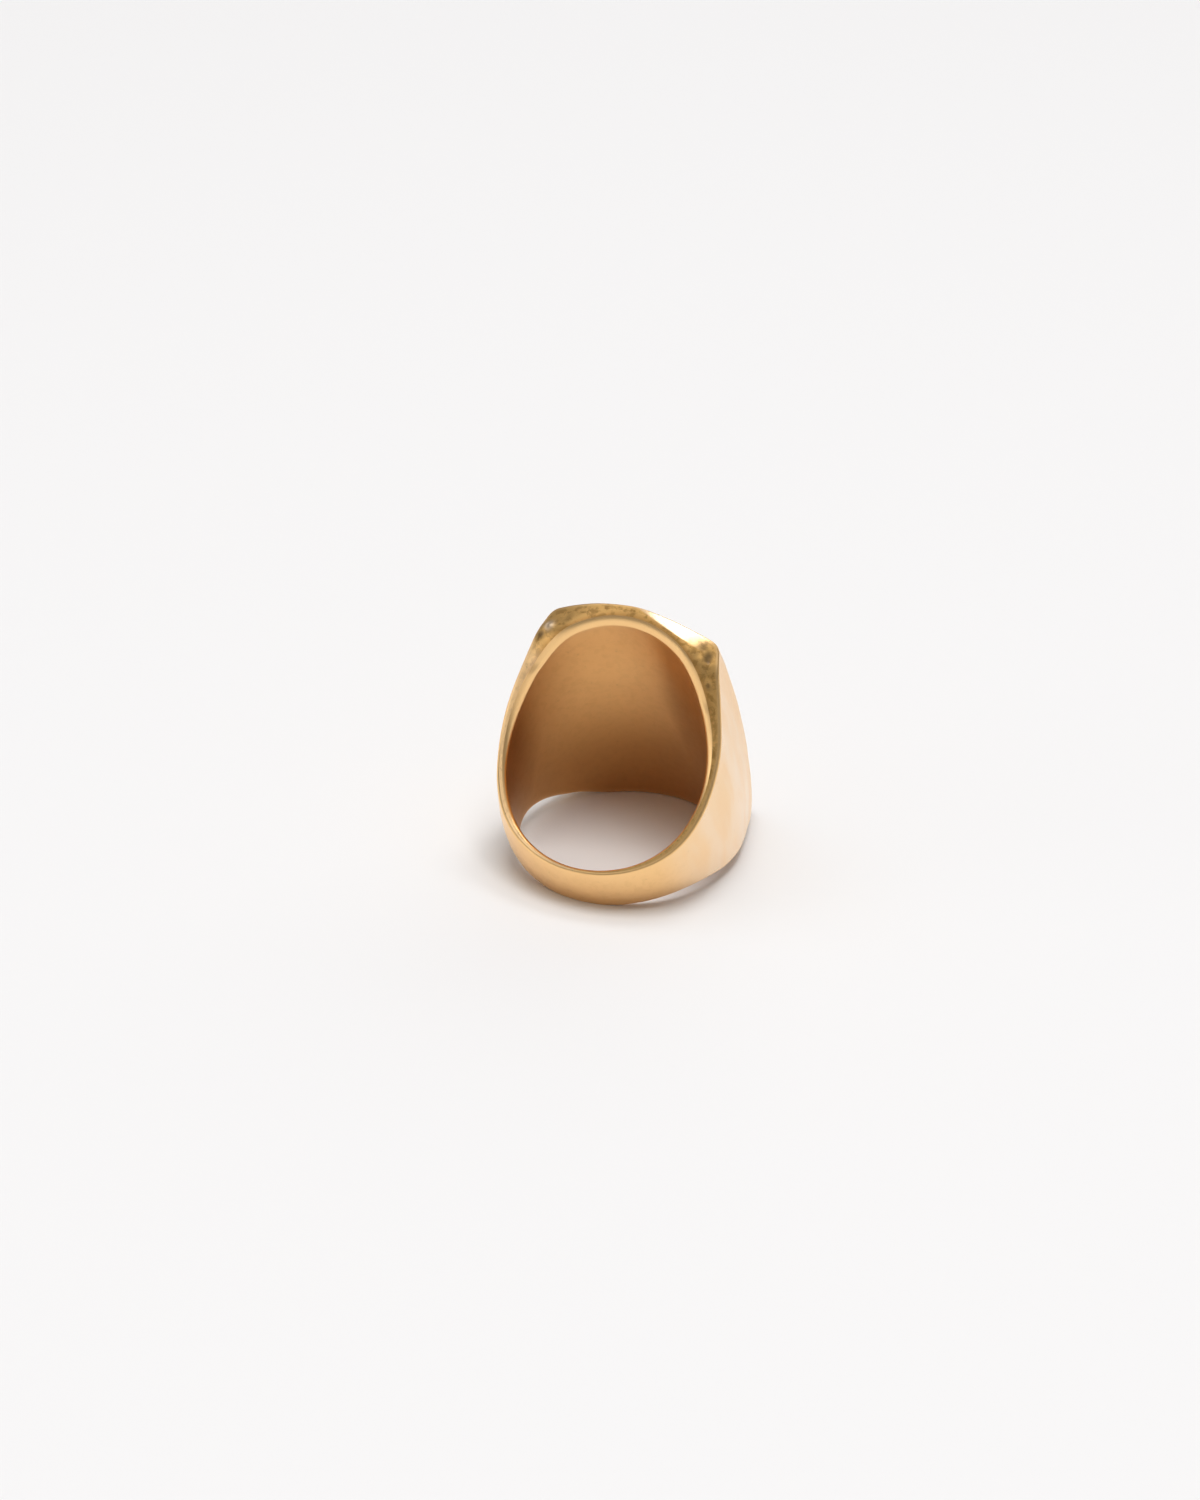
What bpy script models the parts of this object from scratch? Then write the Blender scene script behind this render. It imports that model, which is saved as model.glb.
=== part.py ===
"""Signet ring, lying on its side as it rests on a table.

The ring is worked out in its own axes first: x along the finger, z from the middle of the finger hole to the
middle of the table, y across. Every piece is a run of flat radial sections round the finger, so a section needs
only the finger hole, the outside and the two sides. Metres throughout.
"""

import bpy
import numpy as np

# Finger hole and the bevel round its two mouths.
FINGER_RADIUS = 0.00865
HEAD_BEVEL = 0.00055
SHANK_BEVEL = 0.00026

# The sides: the distance from the middle plane grows steadily from the back of the shank to the head, is held
# at the head's own half length, and falls away to each flank.
SIDE_AT_FINGER_AXIS = 0.00829
SIDE_GROWTH = 0.659
HEAD_HALF_LENGTH = 0.0132
SIDE_FALL_RADIUS = 0.0152
SIDE_BLEND = 0.0004

# The table on top of the head, crowned both ways.
TABLE_END_HEIGHT = 0.01066
TABLE_RISE = 0.0006
TABLE_CROSS_RADIUS = 0.0328
TABLE_CORNER_BLEND = 0.00072
LEAST_BEND = 1e-6

# The flanks, which lean in towards the table and swell a little at mid length.
FLANK_LEAN = np.radians(17.3)
FLANK_DISTANCE = 0.01002
FLANK_SWELL = 0.00056
FLANK_END_ANGLE = np.radians(79.5)
FLANK_FADE = 0.09
LEAST_LEAN = 0.2

# The hoop.
SHANK_THICKNESS = 0.00079
BACK_THICKNESS = 0.00053
BACK_BEGINS = np.radians(110.0)
SHANK_CROWN = 0.00026
OUTER_EDGE_ROUND = 0.00022

# Where the pieces are soldered to each other, as angles from the middle of the table.
TABLE_JOINT = np.radians(43.0)
HEAD_JOINT = np.radians(66.0)
SHANK_JOINT = np.radians(114.0)
PLATE_THICKNESS = 0.0009
SOLDER_LINE = 0.00004
LEDGE_SLOPE = np.radians(0.25)

# The two places that the ring lies on are worn flat by this much.
WEAR_DEPTH = 0.00012

# Spacing of the sections, and the depth that leaves a section whole.
STEP_HEAD = np.radians(3.6)
STEP_SHANK = np.radians(5.0)
WHOLE = 0.0

GOLD = (0.83, 0.60, 0.30)
ROUGHNESS = 0.32


def lower_of(first, second, blend):
    """The smaller of two lengths, rounded over where they cross."""
    share = np.clip(0.5 + 0.5 * (second - first) / blend, 0.0, 1.0)
    return second * (1.0 - share) + first * share - blend * share * (1.0 - share)


def eased(value, begin, end):
    """0 before begin, 1 after end, and a smooth step between."""
    share = np.clip((value - begin) / (end - begin), 0.0, 1.0)
    return share * share * (3.0 - 2.0 * share)


def from_table(angle):
    """The angle from the middle of the table, the shorter way round."""
    return np.pi - np.abs(np.pi - np.abs(angle))


def side_distance(angle, radius):
    """Half the ring's length along the finger, at an angle from the table and a distance from the axis."""
    y = radius * np.sin(angle)
    z = radius * np.cos(angle)
    growing = SIDE_AT_FINGER_AXIS + SIDE_GROWTH * z
    held = lower_of(growing, HEAD_HALF_LENGTH + 0.0 * z, SIDE_BLEND)
    return held - y * y / (2.0 * SIDE_FALL_RADIUS)


def table_radius(angle, height):
    """Distance from the axis to the crowned table: z = height, less y squared over twice the cross radius."""
    bend = np.sin(angle) ** 2 / (2.0 * TABLE_CROSS_RADIUS)
    bend = np.maximum(bend, LEAST_BEND)
    return (np.sqrt(np.cos(angle) ** 2 + 4.0 * bend * height) - np.cos(angle)) / (2.0 * bend)


def outer_radius(angle, x, side):
    """Distance from the axis to the outside of the ring."""
    angle = from_table(angle)
    across = np.clip(1.0 - (x / side) ** 2, 0.0, 1.0)
    back = eased(angle, BACK_BEGINS, np.pi)
    thickness = SHANK_THICKNESS + (BACK_THICKNESS - SHANK_THICKNESS) * back
    hoop = FINGER_RADIUS + thickness + SHANK_CROWN * across
    lean = np.maximum(np.sin(angle + FLANK_LEAN), LEAST_LEAN)
    flank = (FLANK_DISTANCE + FLANK_SWELL * across) / lean
    hooped = 1.0 / (1.0 + np.exp((FLANK_END_ANGLE - angle) / FLANK_FADE))
    around = flank * (1.0 - hooped) + hoop * hooped
    table = table_radius(np.minimum(angle, FLANK_END_ANGLE), TABLE_END_HEIGHT + TABLE_RISE * across)
    return lower_of(around, table, TABLE_CORNER_BLEND)


def bevel_size(angle):
    """The bevel at the mouth of the finger hole narrows from the head to the shank."""
    return HEAD_BEVEL + (SHANK_BEVEL - HEAD_BEVEL) * eased(from_table(angle), HEAD_JOINT, SHANK_JOINT)


def outer_edge(angle):
    """Radius and side distance of the edge between a side and the outside."""
    radius = FINGER_RADIUS + 0.001
    for _ in range(30):
        side = side_distance(angle, radius)
        radius = outer_radius(angle, side, side)
    return radius, side


def half_section(angle, depth):
    """Radii and lengths of one half of a section, from the middle of its inner wall round to the middle of its
    outside. A depth leaves only that much below the outside, or, if it is negative, takes that much off."""
    edge, side = outer_edge(angle)
    edge -= max(-depth, 0.0)
    side = side_distance(angle, edge)
    bevel = bevel_size(angle)
    radii = []
    lengths = []
    if depth > 0.0:
        foot = edge - depth
        for share in np.linspace(0.0, 1.0, 7):
            x = side_distance(angle, foot) * share
            radii.append(outer_radius(angle, x, side) - depth)
            lengths.append(x)
        foot_radius = radii[-1]
    else:
        mouth = side_distance(angle, FINGER_RADIUS + bevel)
        for share in np.linspace(0.0, 1.0, 5):
            radii.append(FINGER_RADIUS)
            lengths.append((mouth - bevel) * share)
        foot_radius = FINGER_RADIUS + bevel
        for share in (0.3, 0.55, 0.8, 1.0):
            radii.append(FINGER_RADIUS + bevel * share)
            lengths.append(mouth - bevel * (1.0 - share))
    top = edge - OUTER_EDGE_ROUND
    for share in (0.12, 0.25, 0.6, 1.0):
        radius = foot_radius + (top - foot_radius) * share
        radii.append(radius)
        lengths.append(side_distance(angle, radius))
    last = lengths[-1]
    inner = last - OUTER_EDGE_ROUND
    crown = outer_radius(angle, inner, side) - max(-depth, 0.0)
    radii.append(crown - (crown - top) * (1.0 - np.sin(np.pi / 4.0)))
    lengths.append(inner + OUTER_EDGE_ROUND * np.cos(np.pi / 4.0))
    for share in np.linspace(1.0, 0.0, 8):
        x = inner * share
        radii.append(outer_radius(angle, x, side) - max(-depth, 0.0))
        lengths.append(x)
    return np.array(radii), np.array(lengths)


def section(angle, depth):
    """The whole closed section as points in the ring's own axes."""
    radii, lengths = half_section(angle, depth)
    radii = np.concatenate([radii, radii[-2:0:-1]])
    lengths = np.concatenate([lengths, -lengths[-2:0:-1]])
    return np.stack([lengths, radii * np.sin(angle), radii * np.cos(angle)], axis=1)


def reach_below(points, tilt):
    """How far the points reach towards the surface that the ring lies on, when it leans by tilt."""
    return -points[..., 0] * np.cos(tilt) - points[..., 2] * np.sin(tilt)


def lying_tilt():
    """The lean at which the head and the back of the shank touch the surface together."""
    head = section(0.0, 0.0)
    shank = section(np.pi, 0.0)
    low = np.radians(10.0)
    high = np.radians(60.0)
    for _ in range(50):
        middle = 0.5 * (low + high)
        if reach_below(head, middle).max() > reach_below(shank, middle).max():
            low = middle
        else:
            high = middle
    return middle, reach_below(head, middle).max() - WEAR_DEPTH


def worn(points, tilt, surface):
    """Points that reach past the surface are brought back onto it."""
    excess = np.maximum(reach_below(points, tilt) - surface, 0.0)
    moved = points.copy()
    moved[..., 0] += excess * np.cos(tilt)
    moved[..., 2] += excess * np.sin(tilt)
    return moved


def laid_down(points, tilt, surface):
    """From the ring's own axes to the lying ring: finger axis steep, shank in front, table behind."""
    x = points[..., 1]
    y = points[..., 2] * np.cos(tilt) - points[..., 0] * np.sin(tilt)
    z = points[..., 0] * np.cos(tilt) + points[..., 2] * np.sin(tilt) + surface
    return np.stack([x, y, z], axis=-1)


def finish():
    """The polished and worn gold-coloured metal of one piece."""
    material = bpy.data.materials.new("gold_toned_metal")
    material.use_nodes = True
    principled = material.node_tree.nodes["Principled BSDF"]
    principled.inputs["Base Color"].default_value = (*GOLD, 1.0)
    principled.inputs["Roughness"].default_value = ROUGHNESS
    principled.inputs["Metallic"].default_value = 1.0
    material.diffuse_color = (*GOLD, 1.0)
    return material


def piece(name, sections, shift):
    """One solid through a row of closed sections, with a flat end at each end of the row."""
    rows = len(sections)
    count = len(sections[0])
    points = np.concatenate(sections) + shift
    faces = []
    for row in range(rows - 1):
        for i in range(count):
            j = (i + 1) % count
            faces.append((row * count + i, (row + 1) * count + i, (row + 1) * count + j, row * count + j))
    faces.append(tuple(range(count)))
    faces.append(tuple(rows * count - 1 - i for i in range(count)))
    mesh = bpy.data.meshes.new(name)
    mesh.from_pydata(points.tolist(), [], faces)
    mesh.validate()
    mesh.shade_smooth()
    mesh.set_sharp_from_angle(angle=np.radians(35.0))
    mesh.materials.append(finish())
    obj = bpy.data.objects.new(name, mesh)
    bpy.context.scene.collection.objects.link(obj)
    return obj


def steps(begin, end, step):
    """Angles from begin to end, about one step apart."""
    return np.linspace(begin, end, int(np.ceil((end - begin) / step)) + 1)


for old in list(bpy.data.objects):
    bpy.data.objects.remove(old)

tilt, surface = lying_tilt()
half_gap = 0.5 * SOLDER_LINE / FINGER_RADIUS
cut = -(PLATE_THICKNESS + SOLDER_LINE)

runs = {}

# Shank: the plain band at the back of the finger, from one shoulder to the other.
angles = steps(SHANK_JOINT + half_gap, 2.0 * np.pi - SHANK_JOINT - half_gap, STEP_SHANK)
runs["shank"] = [(a, WHOLE) for a in angles]

# Shoulders: the two tapering cheeks between the shank and the head.
angles = steps(HEAD_JOINT + half_gap, SHANK_JOINT - half_gap, STEP_HEAD)
runs["shoulder_right"] = [(a, WHOLE) for a in angles]
runs["shoulder_left"] = [(-a, WHOLE) for a in reversed(angles)]

# Head: the long block round the finger hole, with a shallow seat on top for the table plate.
seat = steps(-TABLE_JOINT, TABLE_JOINT, STEP_HEAD)
flank = steps(TABLE_JOINT + LEDGE_SLOPE, HEAD_JOINT - half_gap, STEP_HEAD)
runs["head"] = [(-a, WHOLE) for a in reversed(flank)]
runs["head"] += [(a, cut) for a in seat]
runs["head"] += [(a, WHOLE) for a in flank]

# Table plate: the crowned face of the signet, let into the seat on the head.
angles = steps(-TABLE_JOINT + half_gap, TABLE_JOINT - half_gap, STEP_HEAD)
runs["table_plate"] = [(a, PLATE_THICKNESS) for a in angles]

solids = {}
for name, run in runs.items():
    solids[name] = [laid_down(worn(section(a, d), tilt, surface), tilt, surface) for a, d in run]

# The origin is under the middle of the whole ring, on the surface it lies on.
every = np.concatenate([np.concatenate(rows) for rows in solids.values()])
middle = 0.5 * (every.min(axis=0) + every.max(axis=0))
shift = -np.array([middle[0], middle[1], every[:, 2].min()])

for name, rows in solids.items():
    piece(name, rows, shift)
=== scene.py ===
"""A gold-toned signet ring lying on its side on a pale surface."""

import bpy
import numpy as np
from mathutils import Matrix, Vector


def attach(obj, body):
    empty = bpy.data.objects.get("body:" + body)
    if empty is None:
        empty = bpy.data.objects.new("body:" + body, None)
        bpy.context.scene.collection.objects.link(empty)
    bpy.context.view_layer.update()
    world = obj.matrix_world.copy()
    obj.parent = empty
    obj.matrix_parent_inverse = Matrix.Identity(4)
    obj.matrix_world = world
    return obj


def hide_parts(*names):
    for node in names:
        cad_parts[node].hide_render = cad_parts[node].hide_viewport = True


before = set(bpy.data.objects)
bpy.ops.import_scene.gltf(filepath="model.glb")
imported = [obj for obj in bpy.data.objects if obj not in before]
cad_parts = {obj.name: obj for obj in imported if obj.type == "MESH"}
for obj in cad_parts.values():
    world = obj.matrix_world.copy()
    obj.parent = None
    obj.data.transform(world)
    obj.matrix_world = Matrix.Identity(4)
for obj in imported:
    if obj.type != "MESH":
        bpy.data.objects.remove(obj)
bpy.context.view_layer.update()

# ------------------------------------------------------------------------------------------------------------
# Shank: the narrow band that passes behind the finger. It is rolled and filed from gold-toned metal, worn
# smooth on its outside and at its edges, and soldered to a shoulder at each end.
# ------------------------------------------------------------------------------------------------------------

# Sizes are in metres. The ring's own axes are x along the finger, y across it, and z from the finger's axis
# to the middle of the table. An angle is measured from z towards y.
FINGER_RADIUS = 0.00865
TABLE_JOINT = np.radians(43.0)
HEAD_JOINT = np.radians(66.0)
SHANK_JOINT = np.radians(114.0)


def from_table(angle):
    """The angle from the middle of the table, the shorter way round."""
    return np.pi - np.abs(np.pi - np.abs(angle))


def eased(value, begin, end):
    """0 before begin, 1 after end, and a smooth step between: 3 s squared less 2 s cubed."""
    share = np.clip((value - begin) / (end - begin), 0.0, 1.0)
    return share * share * (3.0 - 2.0 * share)


def lower_of(first, second, blend):
    """The smaller of two lengths, rounded over where they cross."""
    share = np.clip(0.5 + 0.5 * (second - first) / blend, 0.0, 1.0)
    return second * (1.0 - share) + first * share - blend * share * (1.0 - share)


SIDE_AT_FINGER_AXIS = 0.00829
SIDE_GROWTH = 0.659
HEAD_HALF_LENGTH = 0.0132
SIDE_BLEND = 0.0004
SIDE_FALL_RADIUS = 0.0152


def side_distance(angle, radius):
    """Half the ring's length: it grows in step with the height z, is held at the head's half length, and
    loses y squared over twice the fall radius."""
    grown = SIDE_AT_FINGER_AXIS + SIDE_GROWTH * radius * np.cos(angle)
    held = lower_of(grown, HEAD_HALF_LENGTH, SIDE_BLEND)
    return held - (radius * np.sin(angle)) ** 2 / (2.0 * SIDE_FALL_RADIUS)


TABLE_END_HEIGHT = 0.01066
TABLE_RISE = 0.0006
TABLE_CROSS_RADIUS = 0.0328
LEAST_BEND = 1e-6


def table_radius(angle, height):
    """Distance from the finger's axis to the crowned table: z is the height less y squared over twice a
    radius."""
    bend = np.maximum(np.sin(angle) ** 2 / (2.0 * TABLE_CROSS_RADIUS), LEAST_BEND)
    return (np.sqrt(np.cos(angle) ** 2 + 4.0 * bend * height) - np.cos(angle)) / (2.0 * bend)


SHANK_THICKNESS = 0.00079
BACK_THICKNESS = 0.00053
BACK_BEGINS = np.radians(110.0)
SHANK_CROWN = 0.00026
FLANK_LEAN = np.radians(17.3)
LEAST_LEAN = 0.2
FLANK_DISTANCE = 0.01002
FLANK_SWELL = 0.00056
FLANK_END_ANGLE = np.radians(79.5)
FLANK_FADE = 0.09
TABLE_CORNER_BLEND = 0.00072


def outer_radius(angle, x, side):
    """Distance from the finger's axis to the outside: the lower of the table and the leaning flank, and the
    flank fades into the crowned hoop. Each bulges by 1 less the square of x over the side's distance."""
    angle = from_table(angle)
    bulge = np.clip(1.0 - (x / side) ** 2, 0.0, 1.0)
    thickness = SHANK_THICKNESS + (BACK_THICKNESS - SHANK_THICKNESS) * eased(angle, BACK_BEGINS, np.pi)
    hoop = FINGER_RADIUS + thickness + SHANK_CROWN * bulge
    flank = (FLANK_DISTANCE + FLANK_SWELL * bulge) / np.maximum(np.sin(angle + FLANK_LEAN), LEAST_LEAN)
    hooped = 1.0 / (1.0 + np.exp((FLANK_END_ANGLE - angle) / FLANK_FADE))
    around = flank * (1.0 - hooped) + hoop * hooped
    table = table_radius(np.minimum(angle, FLANK_END_ANGLE), TABLE_END_HEIGHT + TABLE_RISE * bulge)
    return lower_of(around, table, TABLE_CORNER_BLEND)


HEAD_BEVEL = 0.00055
SHANK_BEVEL = 0.00026
BEVEL_BULGE = 0.12
OUTER_EDGE_ROUND = 0.00022
SEAT_EDGE_ROUND = 0.0000022
EDGE_SEARCH_START = 0.001
EDGE_SEARCH_STEPS = 30
WALL_POINTS = 70
BEVEL_POINTS = 11
SIDE_POINTS = 30
ROUND_POINTS = 7
CROWDING = 1.25
WEAR_INTO_HOLE = 0.0002
WEAR_DOWN_SIDE = 0.00009
WEAR_OVER_OUTSIDE = 0.00045
ZONE_HOLE = 0.0
ZONE_BEVEL = 0.4
ZONE_SIDE = 1.0
ZONE_OUTSIDE = 2.0


def section_half(angle, plate, cut):
    """One half of every section, for a column of angles: the inner wall from its middle to the bevel, the
    bevel as a shallow arc, the side, the outer edge as a quarter round, and the outside back to the middle. A
    plate of some thickness has its own underside for an inner wall, and a seat is cut below the outside.
    Returns radii, lengths along the finger, how worn each point is (1 on an edge, 0 on a wall), and zones."""
    edge = FINGER_RADIUS + EDGE_SEARCH_START + 0.0 * angle
    for _ in range(EDGE_SEARCH_STEPS):
        side = side_distance(angle, edge)
        edge = outer_radius(angle, side, side)
    edge = edge - cut
    side = side_distance(angle, edge)
    if plate:
        share = np.linspace(0.0, 1.0, WALL_POINTS)[None, :]
        x = side_distance(angle, edge - plate) * share
        parts = [(outer_radius(angle, x, side) - plate, x, 0.0 * x, ZONE_HOLE + 0.0 * x)]
        foot = parts[0][0][:, -1:]
    else:
        bevel = HEAD_BEVEL + (SHANK_BEVEL - HEAD_BEVEL) * eased(from_table(angle), HEAD_JOINT, SHANK_JOINT)
        mouth = side_distance(angle, FINGER_RADIUS + bevel)
        x = (mouth - bevel) * (1.0 - (1.0 - np.linspace(0.0, 1.0, WALL_POINTS)[None, :]) ** CROWDING)
        worn = np.exp((x - mouth + bevel) / WEAR_INTO_HOLE)
        parts = [(FINGER_RADIUS + 0.0 * x, x, worn, ZONE_HOLE + 0.0 * x)]
        share = np.linspace(0.0, 1.0, BEVEL_POINTS + 1)[None, 1:] + 0.0 * bevel
        bulge = BEVEL_BULGE * bevel * np.sin(np.pi * share)
        x = mouth - bevel * (1.0 - share) + bulge
        parts.append((FINGER_RADIUS + bevel * share - bulge, x, 1.0 + 0.0 * x, ZONE_BEVEL + 0.0 * x))
        foot = FINGER_RADIUS + bevel
    rounding = np.where(cut == 0.0, OUTER_EDGE_ROUND, SEAT_EDGE_ROUND)
    top = edge - rounding
    radius = foot + (top - foot) * np.linspace(0.0, 1.0, SIDE_POINTS + 1)[None, 1:]
    worn = np.exp(-(top - radius) / WEAR_DOWN_SIDE) * (cut == 0.0)
    parts.append((radius, side_distance(angle, radius), worn, ZONE_SIDE + 0.0 * radius))
    inner = parts[-1][1][:, -1:] - rounding
    crown = outer_radius(angle, inner, side) - cut
    turn = np.linspace(0.0, np.pi / 2.0, ROUND_POINTS + 2)[None, 1:-1] + 0.0 * crown
    x = inner + rounding * np.cos(turn)
    parts.append((top + (crown - top) * np.sin(turn), x, 1.0 + 0.0 * x, ZONE_SIDE + 0.5 * np.sin(turn)))
    x = inner * (1.0 - np.linspace(0.0, 1.0, WALL_POINTS)[None, :] ** CROWDING)
    worn = np.exp((x - inner) / WEAR_OVER_OUTSIDE)
    parts.append((outer_radius(angle, x, side) - cut, x, worn, ZONE_OUTSIDE + 0.0 * x))
    return [np.concatenate(columns, axis=1) for columns in zip(*parts)]


FULLNESS = 0.15
FULLEST_ANGLE = 1.66
FULLNESS_SPREAD = 0.38


def lower_fullness(angle):
    """How much longer the ring's lower half is than its upper half: a bell of the angle, on the right."""
    bell = np.exp(-((from_table(angle) - FULLEST_ANGLE) / FULLNESS_SPREAD) ** 2)
    return FULLNESS * bell * (np.sin(angle) > 0.0)


MILLIMETRE = 0.001
FILED_DEPTH = 0.000010


def filed(points):
    """A file and a buff leave the outside slightly uneven: a sum of slow waves, about a hundredth of a
    millimetre, moves each point from or towards the finger's axis."""
    x, y, z = (points[..., i] / MILLIMETRE for i in range(3))
    wave = np.sin(1.1 * x + 0.9 * y + 0.4) * np.sin(0.8 * z - 0.5 * y + 1.1)
    wave += 0.6 * np.sin(1.9 * y - 1.3 * z + 0.7 * x) * np.sin(1.4 * x + 2.1)
    radius = np.hypot(points[..., 1], points[..., 2])
    outside = eased(radius, FINGER_RADIUS + 0.0002, FINGER_RADIUS + 0.0007)
    moved = points.copy()
    moved[..., 1:] *= (1.0 + FILED_DEPTH * wave * outside / radius)[..., None]
    return moved


END_BEGINS = 0.009
END_REACHED = 0.010
MOUTH_WEAR = 0.00036
MOUTH_WEAR_ALONG = 0.004, 0.012
MOUTH_WEAR_OUT = 0.0092, 0.0110
INNER_FALL = 0.00011
FALL_BEGINS = 0.0103
FALL_MOST = 0.0012
FACET_LEFT = -5.0, 14.0
FACET_RIGHT = 24.0, 38.0
FACET_MIDDLE = 18.0
FACET_LOWEST = 0.0095
FACET_CURVE = 0.000003
FACET_SLOPE = 0.15
FACET_ONSET = 0.00025
FACET_MOST = 0.0025


def ends_worn_over(points):
    """Wear on the two ends. The upper mouth is worn wider towards the table by the square of the angle's
    cosine, each side falls away towards the hole with the square of the distance, and the upper end of the
    table is worn down to a slanting facet right of its middle. The facet begins on a parabola of the angle,
    and its slope sets in over a short onset. Returns the moved points and how much each is on the facet."""
    radius = np.hypot(points[..., 1], points[..., 2])
    angle = np.arctan2(points[..., 1], points[..., 2])
    mouth = np.maximum(np.cos(angle), 0.0) ** 2 * eased(points[..., 0], *MOUTH_WEAR_ALONG)
    wider = MOUTH_WEAR * mouth * (1.0 - eased(radius, *MOUTH_WEAR_OUT))
    moved = points.copy()
    moved[..., 1:] *= (1.0 + wider / radius)[..., None]
    on_end = eased(np.abs(points[..., 0]), END_BEGINS, END_REACHED)
    inwards = np.clip(FALL_BEGINS - radius - wider, 0.0, FALL_MOST) / MILLIMETRE
    moved[..., 0] -= np.sign(points[..., 0]) * on_end * INNER_FALL * inwards ** 2
    degrees = np.degrees(angle)
    across = eased(degrees, *FACET_LEFT) * (1.0 - eased(degrees, *FACET_RIGHT))
    facet = across * eased(points[..., 0], END_BEGINS, END_REACHED)
    begins = FACET_LOWEST + FACET_CURVE * (degrees - FACET_MIDDLE) ** 2
    past = np.clip(radius - begins, 0.0, FACET_MOST)
    slanted = np.where(past < FACET_ONSET, past ** 2 / (2.0 * FACET_ONSET), past - FACET_ONSET / 2.0)
    moved[..., 0] -= facet * FACET_SLOPE * slanted
    return moved, facet * eased(past, 0.0, FACET_ONSET)


KNOCKED_OUT_FROM = 0.0092, 0.0097
FULL_PIT = 0.12


def knocked(points, knocks):
    """Each knock pushes the upper end in along the finger by its depth, fading as a bell with distance; a
    negative depth is a raised spot. Returns the moved points and each one's depth in a pit, as a share of a
    full pit's millimetres and less than 0 on a raised spot."""
    pit = np.zeros(points.shape[:2])
    on_end = eased(np.abs(points[..., 0]), END_BEGINS, END_REACHED) * (points[..., 0] > 0.0)
    on_side = on_end * eased(np.hypot(points[..., 1], points[..., 2]), *KNOCKED_OUT_FROM)
    for degrees, distance, size, depth in knocks:
        y = distance * MILLIMETRE * np.sin(np.radians(degrees))
        z = distance * MILLIMETRE * np.cos(np.radians(degrees))
        away = np.hypot(points[..., 1] - y, points[..., 2] - z) / (size * MILLIMETRE)
        pit += depth * on_side * np.exp(-away * away)
    moved = points.copy()
    moved[..., 0] -= MILLIMETRE * pit
    return moved, np.clip(pit / FULL_PIT, -1.0, 1.0)


LYING_TILT = np.radians(30.6928)
LYING_HEIGHT = 0.0065349
FINGER_AXIS_BACK = -0.0034004


def laid_down(points):
    """The worn places under the ring are brought back to the surface it lies on, and the ring's own axes are
    turned to the lying pose: x across, y from shank to table, z up."""
    along, upward = np.cos(LYING_TILT), np.sin(LYING_TILT)
    sunk = np.maximum(-points[..., 0] * along - points[..., 2] * upward - LYING_HEIGHT, 0.0)
    length = points[..., 0] + sunk * along
    height = points[..., 2] + sunk * upward
    back = height * along - length * upward + FINGER_AXIS_BACK
    return np.stack([points[..., 1], back, length * along + height * upward + LYING_HEIGHT], axis=-1)


def smooth_normals(points, cut, foot):
    """Unit normals of a grid of sections: the cross product of the steps along and round the ring between
    each point's neighbours. The step at a seat and the foot of a plate are kept out of them. The first and
    last sections only serve as neighbours."""
    same = cut[1:] == cut[:-1]
    after = np.where(same[1:, :, None], points[2:], points[1:-1])
    before = np.where(same[:-1, :, None], points[:-2], points[1:-1])
    following = np.roll(points, -1, axis=1)
    leading = np.roll(points, 1, axis=1)
    if foot:
        leading[:, foot] = points[:, foot]
        following[:, -foot] = points[:, -foot]
    normals = np.cross(after - before, (following - leading)[1:-1])
    return normals / np.maximum(np.linalg.norm(normals, axis=-1, keepdims=True), 1e-12)


def end_normal(section, neighbour):
    """The normal of a flat end, pointing away from the neighbouring section."""
    normal = np.cross(section[WALL_POINTS] - section[0], section[-WALL_POINTS] - section[0])
    return normal * np.sign(normal @ (section - neighbour).mean(axis=0)) / np.linalg.norm(normal)


# Worn paleness that is also a painted sheen on the flanks, the facet and a little of the table, and a painted
# highlight on the low left side.
FLANK_RUB_AND_SHEEN_FROM = np.radians(52.0)
HOOP_FREE_OF_RUB_AND_SHEEN = np.radians(105.0), np.radians(140.0)
TABLE_RUB_AND_SHEEN = 0.4
LEFT_SIDE_PAINTED_HIGHLIGHT = 0.35
LEFT_SIDE_FADE = 0.82, 0.98
# Painted shade in the hole: darker away from its top, sooner on the right than on the left, fading towards
# the back, and darker with depth; and a line of painted shade along the bevel.
PAINTED_SHADE_RIGHT = 0.12, 0.42
PAINTED_SHADE_LEFT = 0.95, 1.5
PAINTED_SHADE_BACK_FADE = 1.7, 2.6
PAINTED_SHADE_DEPTH = -0.004, 0.006
SHADE_LINE_WIDTH = 0.00036
SHADE_LINE_FADE = np.radians(55.0), np.radians(75.0)


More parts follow.
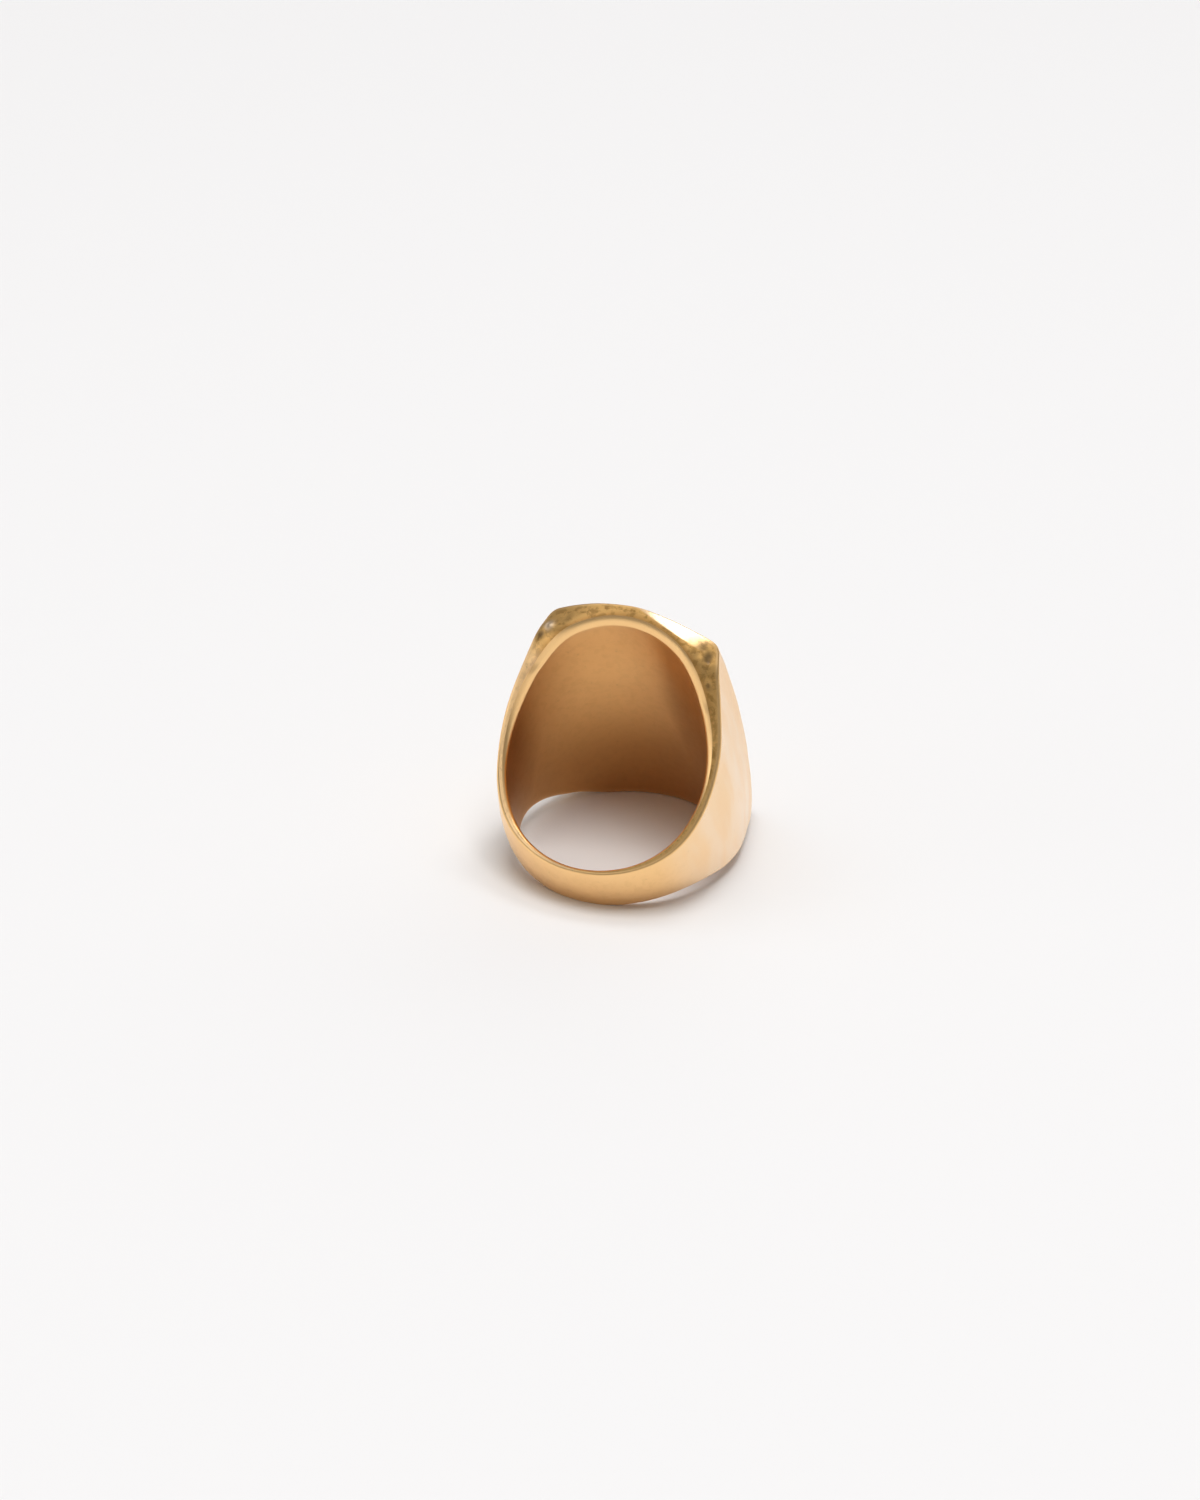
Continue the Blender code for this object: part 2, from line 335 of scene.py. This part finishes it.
def handled(angle, radius, length, zone, facet):
    """How much worn paleness and painted sheen, and how much painted shade, each point gets, 0 to 1. Hands
    rub the facet, the flanks and a little of the table, which also carry a painted sheen, and the low left
    side gets a painted highlight. The hole gets painted shade away from its top and with the depth from its
    upper mouth, and a line of painted shade runs on the sides where they meet the bevel."""
    turn = from_table(angle)
    on_side = eased(zone, 0.6, 0.9) * (1.0 - eased(zone, 1.02, 1.3))
    in_hole = 1.0 - eased(zone, 0.0, 0.3)
    on_outside = eased(zone, 1.5, 2.0) * (1.0 - eased(turn, *HOOP_FREE_OF_RUB_AND_SHEEN))
    on_flank = TABLE_RUB_AND_SHEEN + (1.0 - TABLE_RUB_AND_SHEEN) * eased(turn, TABLE_JOINT, FLANK_RUB_AND_SHEEN_FROM)
    rubbed = np.maximum(facet, on_outside * on_flank)
    # A painted highlight on the left side low down.
    low_left_highlight = on_side * eased(turn, *LEFT_SIDE_FADE) * (np.sin(angle) < 0.0)
    rubbed = np.maximum(rubbed, LEFT_SIDE_PAINTED_HIGHLIGHT * low_left_highlight)
    # Painted shade in the hole, growing away from its top and with the depth from the upper mouth.
    browned = np.where(np.sin(angle) > 0.0, eased(turn, *PAINTED_SHADE_RIGHT), eased(turn, *PAINTED_SHADE_LEFT))
    browned = browned * (1.0 - eased(turn, *PAINTED_SHADE_BACK_FADE))
    browned = np.maximum(browned, eased(-length, *PAINTED_SHADE_DEPTH)) * in_hole
    # A line of painted shade on the sides where they meet the bevel.
    line = np.exp(-((radius - FINGER_RADIUS - HEAD_BEVEL) / SHADE_LINE_WIDTH) ** 2) * on_side
    return rubbed, np.maximum(browned, line * (1.0 - eased(turn, *SHADE_LINE_FADE)))


def closed_solid(name, points, normals, marks):
    """The object of one piece: a quad between each two neighbouring points of neighbouring sections, a flat
    face at each end, the marks as point attributes, and the given normals, with each flat end facing away."""
    rows, count = points.shape[:2]
    at = np.arange(rows * count).reshape(rows, count)
    beside = np.roll(at, -1, axis=1)
    quads = np.stack([at[:-1], at[1:], beside[1:], beside[:-1]], axis=-1).reshape(-1, 4)
    loops = np.concatenate([quads.ravel(), at[0], at[-1][::-1]])
    starts = np.concatenate([np.arange(len(quads)) * 4, [len(quads) * 4, len(quads) * 4 + count]])
    mesh = bpy.data.meshes.new(name)
    mesh.vertices.add(rows * count)
    mesh.vertices.foreach_set("co", points.reshape(-1).astype(np.float32))
    mesh.loops.add(len(loops))
    mesh.loops.foreach_set("vertex_index", loops.astype(np.int32))
    mesh.polygons.add(len(starts))
    mesh.polygons.foreach_set("loop_start", starts.astype(np.int32))
    mesh.update(calc_edges=True)
    for label, values in marks.items():
        layer = mesh.attributes.new(label, "FLOAT", "POINT")
        layer.data.foreach_set("value", values.reshape(-1).astype(np.float32))
    ends = np.array([end_normal(points[0], points[1]), end_normal(points[-1], points[-2])])
    mesh.shade_smooth()
    wall = normals.reshape(-1, 3)[quads.ravel()]
    mesh.normals_split_custom_set(np.concatenate([wall, np.repeat(ends, count, axis=0)]))
    piece = bpy.data.objects.new(name, mesh)
    bpy.context.scene.collection.objects.link(piece)
    return piece


def ring_piece(name, angles, plate=0.0, cut=None, knocks=()):
    """A solid through closed sections at the given angles. A section is its half and the mirror image of that
    half, made longer on the ring's full side. The normals come from the sections on both sides of each point,
    with one section past each end, so neighbouring pieces shade as one."""
    before, after = 2.0 * angles[0] - angles[1], 2.0 * angles[-1] - angles[-2]
    angle = np.concatenate([[before], angles, [after]])[:, None]
    cut = np.zeros(len(angles)) if cut is None else cut
    cut = np.concatenate([cut[:1], cut, cut[-1:]])[:, None]
    half = section_half(angle, plate, cut)
    radius, length, edge, zone = (np.concatenate([column, column[:, -2:0:-1]], axis=1) for column in half)
    length[:, half[0].shape[1]:] *= -1.0 - lower_fullness(angle)
    points = np.stack([length, radius * np.sin(angle), radius * np.cos(angle)], axis=-1)
    points, facet = ends_worn_over(filed(points))
    rubbed, browned = handled(angle, radius, length, zone, facet)
    points, pit = knocked(points, knocks)
    points = laid_down(points)
    normals = smooth_normals(points, cut, WALL_POINTS - 1 if plate else 0)
    marks = {
        "edge_wear": edge,
        "zone": zone,
        "pit_depth": np.maximum(pit, 0.0),
        "rubbed": np.maximum(rubbed, -pit),
        "browned": browned,
    }
    return closed_solid(name, points[1:-1], normals, {label: mark[1:-1] for label, mark in marks.items()})


class Wire:
    """One output socket of a node. Arithmetic on it adds the Math nodes that do it."""

    def __init__(self, finish, socket):
        self.finish = finish
        self.socket = socket

    def maths(self, operation, *values):
        return self.finish.node("ShaderNodeMath", {"operation": operation}, dict(enumerate(values)))

    def __add__(self, other):
        return self.maths("ADD", self, other)

    def __sub__(self, other):
        return self.maths("SUBTRACT", self, other)

    def __rsub__(self, other):
        return self.maths("SUBTRACT", other, self)

    def __mul__(self, other):
        return self.maths("MULTIPLY", self, other)

    __radd__ = __add__
    __rmul__ = __mul__

    def at_most(self, limit):
        return self.maths("MINIMUM", self, limit)

    def within(self, low, high):
        """0 below low, 1 above high, smooth between."""
        limits = {"Value": self, "From Min": low, "From Max": high}
        return self.finish.node("ShaderNodeMapRange", {"interpolation_type": "SMOOTHSTEP"}, limits)


class Finish:
    """The nodes of a material or of the world, which lead to its one closing shader."""

    def __init__(self, owner, closing):
        owner.use_nodes = True
        self.tree = owner.node_tree
        self.closing = self.tree.nodes[closing]

    def feed(self, target, inputs):
        """Gives a node's sockets their values, or links them to wires."""
        for key, value in inputs.items():
            if isinstance(value, Wire):
                self.tree.links.new(value.socket, target.inputs[key])
            else:
                target.inputs[key].default_value = value

    def node(self, kind, settings, inputs, output=0):
        """A new node with its settings, then its sockets. A ramp's stops are positions with colours."""
        made = self.tree.nodes.new(kind)
        for key, value in settings.items():
            if key == "stops":
                while len(made.color_ramp.elements) < len(value):
                    made.color_ramp.elements.new(0.5)
                for stop, (position, colour) in zip(made.color_ramp.elements, value):
                    stop.position = position
                    stop.color = colour
            else:
                setattr(made, key, value)
        self.feed(made, inputs)
        return Wire(self, made.outputs[output])

    def mark(self, label):
        """A number that each point of a piece carries."""
        return self.node("ShaderNodeAttribute", {"attribute_name": label}, {}, "Fac")

    def mixed(self, share, first, second):
        """A colour between two: the colour sockets of a Mix node are its inputs 6 and 7 and its output 2."""
        return self.node("ShaderNodeMix", {"data_type": "RGBA"}, {"Factor": share, 6: first, 7: second}, 2)

    def noise(self, place, scale, detail, rough, warp=0.0):
        """Cloudy noise from 0 to 1, with so many cells in a metre."""
        looks = {"Scale": scale, "Detail": detail, "Roughness": rough, "Distortion": warp}
        return self.node("ShaderNodeTexNoise", {}, {"Vector": place} | looks)

    def stretched(self, place, cells):
        """Places turned to the lying ring's own axes, with so many cells in a metre of each axis."""
        scale = [1.0 / count for count in cells]
        turned = {"Vector": place, "Rotation": (LYING_TILT, 0.0, 0.0), "Scale": scale}
        return self.node("ShaderNodeMapping", {"vector_type": "TEXTURE"}, turned)


PALE_GOLD = (0.97, 0.63, 0.29, 1.0)
# Worn paleness and painted sheen, and the painted highlight low on the left side.
RUBBED_SHEEN_GOLD = (0.97, 0.76, 0.54, 1.0)
BORE_GOLD = (0.99, 0.59, 0.225, 1.0)
# A darker copy of the gold for the two sides: painted shade.
SIDE_SHADED_GOLD = (0.87, 0.52, 0.17, 1.0)
BROWNED_GOLD = (0.44, 0.24, 0.065, 1.0)
# The colour of the painted shade in the hole and along the bevel.
BORE_PAINTED_SHADE = (0.60, 0.29, 0.08, 1.0)
PIT_BROWN = (0.22, 0.14, 0.06, 1.0)
BUMP_DEPTH = 0.00002


def worn_gold(name):
    """Satin gold-toned metal: pale where hands rub it, with a painted sheen on the flanks and the facet and a
    painted highlight low on the left side; warm inside, with painted shade deeper in the hole and away from
    its top; a darker painted shade on the two sides, tarnished brown in patches there, and a line of painted
    shade along the bevel; bright along its edges, with buffing marks, hair scratches and fine casting pits."""
    material = bpy.data.materials.new(name)
    gold = Finish(material, "Principled BSDF")
    place = gold.node("ShaderNodeTexCoord", {}, {}, "Object")
    edge = gold.mark("edge_wear")
    zone = gold.mark("zone")
    pit = gold.mark("pit_depth")
    rubbed = gold.mark("rubbed")
    browned = gold.mark("browned")
    side = zone.within(0.5, 0.9) * (1.0 - zone.within(1.1, 1.5))
    outside = zone.within(1.2, 1.9)
    patches = gold.noise(place, 240.0, 3.0, 0.6, 0.4)
    mottle = gold.noise(place, 1500.0, 4.0, 0.62, 0.3)
    fine = gold.noise(place, 6000.0, 3.0, 0.6)
    hairs = gold.noise(gold.stretched(place, (350.0, 350.0, 7000.0)), 1.0, 2.0, 0.5)
    streaks = gold.noise(gold.stretched(place, (420.0, 420.0, 130.0)), 1.0, 2.0, 0.5, 0.3)
    cells = {"Vector": place, "Scale": 1400.0, "Randomness": 1.0}
    grains = gold.node("ShaderNodeTexVoronoi", {"feature": "F1"}, cells)
    specks = (1.0 - grains.within(0.08, 0.24)) * mottle.within(0.52, 0.66) * (side * 0.8 + 0.2)
    sunk = (pit * 0.8 + specks * 0.5).at_most(1.0)
    tarnish = (patches.within(0.36, 0.64) * 0.40 + mottle.within(0.46, 0.62) * 0.65) * (side * 0.86 + 0.10)
    tarnish = tarnish * (1.0 - edge * 0.8) * (1.0 - rubbed * 0.8)
    # Buffing streaks break up the worn paleness and painted sheen on the outside.
    rubbed = rubbed * (1.0 - streaks.within(0.32, 0.66) * outside * 0.5)
    colour = gold.mixed(outside, BORE_GOLD, PALE_GOLD)
    # The two sides darker: painted shade.
    colour = gold.mixed(side * 0.9, colour, SIDE_SHADED_GOLD)
    # Painted shade in the hole and along the bevel.
    colour = gold.mixed(browned * 0.75, colour, BORE_PAINTED_SHADE)
    colour = gold.mixed(tarnish, colour, BROWNED_GOLD)
    colour = gold.mixed(edge * 0.7, colour, PALE_GOLD)
    # Worn paleness with painted sheen, and the painted highlight low on the left side.
    colour = gold.mixed(rubbed * 0.8, colour, RUBBED_SHEEN_GOLD)
    colour = gold.mixed(sunk, colour, PIT_BROWN)
    rough = 0.30 + mottle * 0.08 + fine * 0.05 + streaks * 0.06
    rough = rough + tarnish * 0.12 + pit * 0.2 - edge * 0.08 - rubbed * 0.07
    height = mottle * (side * 0.9 + 0.10) + fine * 0.22 + hairs * (0.20 - side * 0.16) - specks * 0.5
    bump = gold.node("ShaderNodeBump", {}, {"Strength": 0.35, "Distance": BUMP_DEPTH, "Height": height})
    gold.feed(gold.closing, {"Base Color": colour, "Roughness": rough, "Normal": bump, "Metallic": 1.0})
    gold.feed(gold.closing, {"Coat Weight": 0.25, "Coat Roughness": 0.2})
    return material


metal = worn_gold("worn_gold_toned_metal")


def set_in_place(piece, node):
    """Gives a piece its metal and ties it to the part that it stands for."""
    piece.data.materials.append(metal)
    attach(piece, "root")
    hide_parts(node)


shank = ring_piece("shank_band", np.linspace(SHANK_JOINT, 2.0 * np.pi - SHANK_JOINT, 221))
set_in_place(shank, "shank")

# ------------------------------------------------------------------------------------------------------------
# Shoulders: the two cheeks that widen from the shank to the head. Each is filed from the same metal, soldered
# at both ends and blended with a file and a buff, so no seam shows.
# ------------------------------------------------------------------------------------------------------------

shoulder_right = ring_piece("shoulder_right_cheek", np.linspace(HEAD_JOINT, SHANK_JOINT, 121))
set_in_place(shoulder_right, "shoulder_right")
shoulder_left = ring_piece("shoulder_left_cheek", np.linspace(-SHANK_JOINT, -HEAD_JOINT, 121))
set_in_place(shoulder_left, "shoulder_left")

# ------------------------------------------------------------------------------------------------------------
# Head: the long block that the finger passes under, with the two flanks. It is the same metal, knocked and
# pitted on its upper end, with a shallow seat on top for the table plate.
# ------------------------------------------------------------------------------------------------------------

# Casting pits, knocks and one raised spot on the upper end, on the head and on the edge of the plate that is
# let into it: angle in degrees, distance from the finger's axis, radius and depth in millimetres.
KNOCKS = np.array([
    (-46.2, 10.68, 0.34, 0.15),
    (-41.3, 10.72, 0.42, -0.17),
    (-33.0, 10.50, 0.40, 0.04),
    (36.0, 10.95, 0.30, 0.07),
    (39.6, 11.00, 0.34, 0.12),
    (41.2, 10.66, 0.30, 0.12),
    (37.0, 10.10, 0.34, 0.05),
    (44.8, 9.95, 0.34, 0.05),
    (50.3, 9.85, 0.24, 0.09),
])
PLATE_THICKNESS = 0.0009
LEDGE = np.radians(0.02)

flank = np.linspace(TABLE_JOINT, HEAD_JOINT, 46)
seat = np.linspace(-TABLE_JOINT + LEDGE, TABLE_JOINT - LEDGE, 170)
head_angles = np.concatenate([-flank[::-1], seat, flank])
head_cut = np.concatenate([0.0 * flank, PLATE_THICKNESS + 0.0 * seat, 0.0 * flank])
head = ring_piece("head_block", head_angles, cut=head_cut, knocks=KNOCKS)
set_in_place(head, "head")

# ------------------------------------------------------------------------------------------------------------
# Table plate: the plain crowned face of the signet. It is let into the seat on the head, soldered and
# polished flush with the flanks and the ends.
# ------------------------------------------------------------------------------------------------------------

table_angles = np.linspace(-TABLE_JOINT, TABLE_JOINT, 241)
table = ring_piece("table_face", table_angles, plate=PLATE_THICKNESS, knocks=KNOCKS)
set_in_place(table, "table_plate")

# ------------------------------------------------------------------------------------------------------------
# Surface and light: a plain pale sheet under soft studio light. The ceiling's light fills the shadows and is
# kept out of the reflections, which come from the softbox, three cards and the room.
# ------------------------------------------------------------------------------------------------------------

FLOOR_REACH = 2.5
floor_mesh = bpy.data.meshes.new("pale_floor")
corners = [(-FLOOR_REACH, -FLOOR_REACH, 0.0), (FLOOR_REACH, -FLOOR_REACH, 0.0)]
corners += [(FLOOR_REACH, FLOOR_REACH, 0.0), (-FLOOR_REACH, FLOOR_REACH, 0.0)]
floor_mesh.from_pydata(corners, [], [(0, 1, 2, 3)])
floor = bpy.data.objects.new("pale_floor", floor_mesh)
bpy.context.scene.collection.objects.link(floor)
matte = bpy.data.materials.new("pale_floor_matte")
pale = Finish(matte, "Principled BSDF")
pale.feed(pale.closing, {"Base Color": (0.83, 0.825, 0.83, 1.0), "Roughness": 0.9, "Specular IOR Level": 0.2})
floor_mesh.materials.append(matte)

RING_MIDDLE = Vector((0.0, 0.0, 0.01))
SOFT_WHITE = (1.0, 0.99, 0.98)
CREAM_WHITE = (1.0, 0.99, 0.97)


def soft_light(name, place, size, watts, colour=SOFT_WHITE):
    """A rectangular soft light, turned towards the ring."""
    data = bpy.data.lights.new(name, "AREA")
    data.shape = "RECTANGLE"
    data.size, data.size_y = size
    data.energy = watts
    data.color = colour
    light = bpy.data.objects.new(name, data)
    light.location = place
    light.rotation_euler = (RING_MIDDLE - Vector(place)).to_track_quat("-Z", "Y").to_euler()
    bpy.context.scene.collection.objects.link(light)
    return light


fill = soft_light("ceiling_fill", place=(0.12, -0.26, 1.17), size=(0.55, 0.55), watts=7.6)
fill.visible_glossy = False
soft_light("high_softbox", place=(0.17, 0.37, 1.13), size=(0.34, 0.34), watts=2.2)
soft_light("left_high_card", place=(-0.555, -0.10, 1.06), size=(0.95, 0.80), watts=1.3)
soft_light("back_card", place=(0.05, 1.10, 0.50), size=(1.40, 0.70), watts=2.0)
soft_light("left_card", place=(-0.69, -0.58, 0.19), size=(0.50, 0.22), watts=0.42, colour=CREAM_WHITE)

# The room's brightness by height: bright at the horizon, dark above it and lighter again overhead.
ROOM_SHADES = (0.0, 0.82), (0.10, 0.80), (0.24, 0.24), (0.58, 0.24), (0.80, 0.54), (1.0, 0.46)
world = bpy.data.worlds.new("studio")
bpy.context.scene.world = world
room = Finish(world, "Background")
direction = room.node("ShaderNodeTexCoord", {}, {}, "Generated")
upwards = room.node("ShaderNodeSeparateXYZ", {}, {"Vector": direction}, "Z")
stops = [(height, (shade, shade, shade, 1.0)) for height, shade in ROOM_SHADES]
room.feed(room.closing, {"Color": room.node("ShaderNodeValToRGB", {"stops": stops}, {"Fac": upwards})})
bpy.context.scene.view_settings.view_transform = "Standard"

# ------------------------------------------------------------------------------------------------------------
# Camera: it looks down through the finger hole from the shank's side, held slightly askew, with the hole's
# middle a little right of and below the middle of the frame.
# ------------------------------------------------------------------------------------------------------------

CAMERA_AZIMUTH = np.radians(19.80)
CAMERA_ELEVATION = np.radians(27.83)
CAMERA_ROLL = np.radians(3.36)
CAMERA_DISTANCE = 0.45
LENS_MM = 128.6
SENSOR_MM = 36.0
AIM_RIGHT = 0.0027899
AIM_DOWN = 0.0088829

hole_middle = Vector((0.0, FINGER_AXIS_BACK, LYING_HEIGHT))
backwards = Vector((
    np.sin(CAMERA_AZIMUTH) * np.cos(CAMERA_ELEVATION),
    -np.cos(CAMERA_AZIMUTH) * np.cos(CAMERA_ELEVATION),
    np.sin(CAMERA_ELEVATION),
))
level = Vector((0.0, 0.0, 1.0)).cross(backwards).normalized()
upright = backwards.cross(level)
right = level * np.cos(CAMERA_ROLL) + upright * np.sin(CAMERA_ROLL)
up = upright * np.cos(CAMERA_ROLL) - level * np.sin(CAMERA_ROLL)
facing = Matrix((right, up, backwards)).transposed()
hole_seen = Vector((AIM_RIGHT, -AIM_DOWN, -1.0)).normalized()
facing = facing @ Vector((0.0, 0.0, -1.0)).rotation_difference(hole_seen).to_matrix().transposed()
camera_data = bpy.data.cameras.new("camera")
camera_data.lens = LENS_MM
camera_data.sensor_width = SENSOR_MM
camera_data.clip_start = 0.01
camera_data.clip_end = 20.0
camera = bpy.data.objects.new("camera", camera_data)
camera.matrix_world = Matrix.Translation(hole_middle + backwards * CAMERA_DISTANCE) @ facing.to_4x4()
bpy.context.scene.collection.objects.link(camera)
bpy.context.scene.camera = camera
